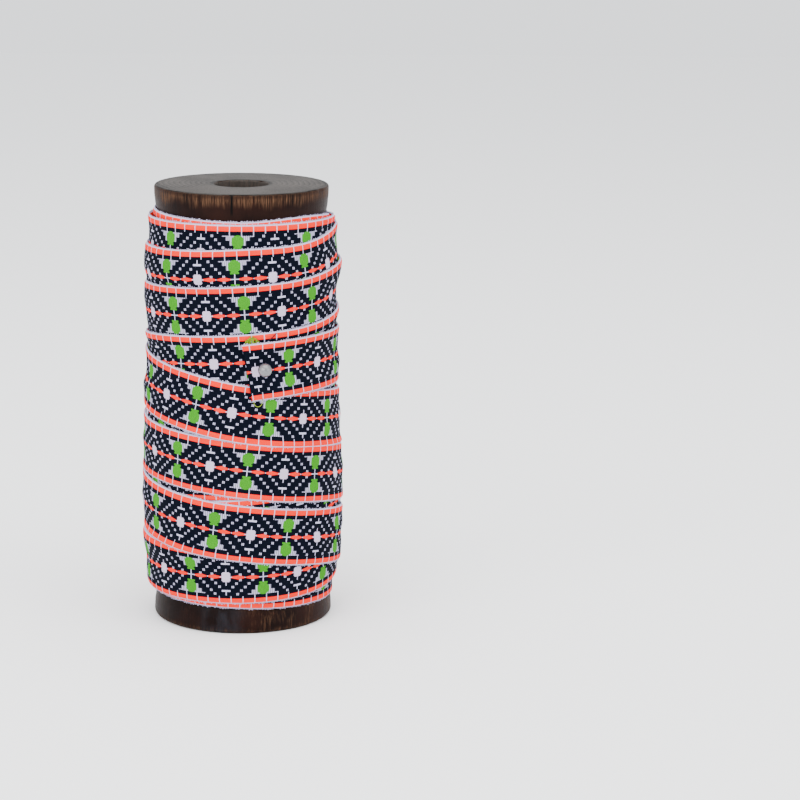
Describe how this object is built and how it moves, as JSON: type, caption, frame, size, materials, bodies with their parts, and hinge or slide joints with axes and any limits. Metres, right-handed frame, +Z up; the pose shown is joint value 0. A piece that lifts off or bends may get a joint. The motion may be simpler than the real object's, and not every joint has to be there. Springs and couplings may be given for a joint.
{
  "type": "roll of jacquard ribbon wound on a turned wooden spool",
  "caption": "Patterned woven ribbon wound in overlapping wraps on a flanged wooden spool, its free end held by a pearl-headed pin; stands upright.",
  "frame": {"origin": "centre of the spool's flat base", "axes": "+Z up along the spool, from the base flange to the top flange; the front, with the pin, faces -Y"},
  "size_m": [0.0879, 0.0918, 0.19],
  "materials": {
    "stained_wood": "dark stain, worn satin, paler end grain on the top face",
    "woven_ribbon": "navy woven ground with a repeat in pale lavender, coral and green, looped white edges",
    "pearl": "pearly, semi-gloss",
    "pin_steel": "fine drawn wire"
  },
  "bodies": {
    "root": {"spool": "stained_wood", "ribbon_roll": "woven_ribbon", "ribbon_tail": "woven_ribbon", "pearl_head": "pearl", "pin_shaft": "pin_steel"}
  },
  "joints": []
}
